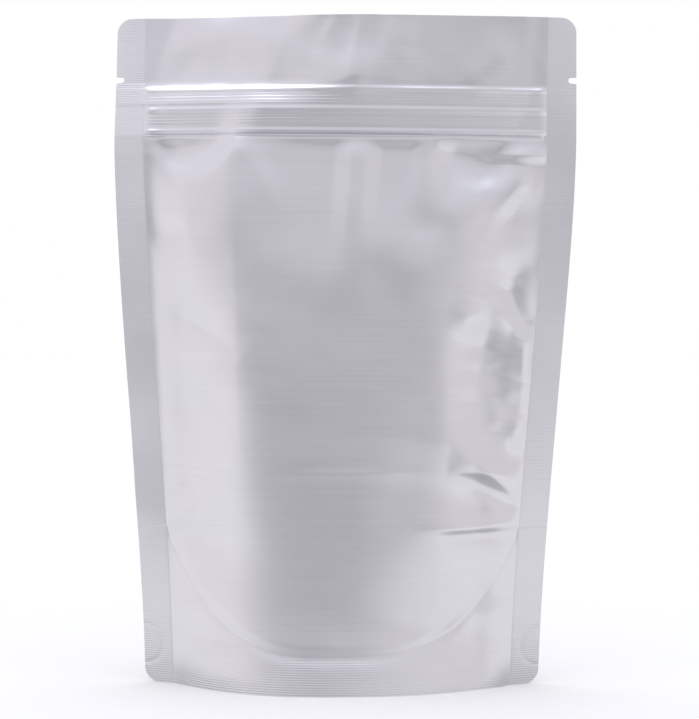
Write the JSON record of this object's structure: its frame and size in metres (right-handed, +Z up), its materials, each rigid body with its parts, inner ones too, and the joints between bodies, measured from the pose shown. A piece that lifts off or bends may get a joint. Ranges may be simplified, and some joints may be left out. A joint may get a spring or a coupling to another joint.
{
  "type": "zipper pouch",
  "caption": "Stand-up pouch of plain silver foil film with welded sides, a press-to-close zipper, tear notches and a folded bottom gusset that opens so that it stands; shut.",
  "frame": {"origin": "on the floor, under the middle of the pouch's foot", "axes": "+Z up from the foot to the top edge, +X to the right seen from the front, +Y from the front panel to the back panel"},
  "size_m": [0.15, 0.0588, 0.217],
  "materials": {
    "foil": "satin"
  },
  "bodies": {
    "root": {"pouch": "foil"}
  },
  "joints": []
}
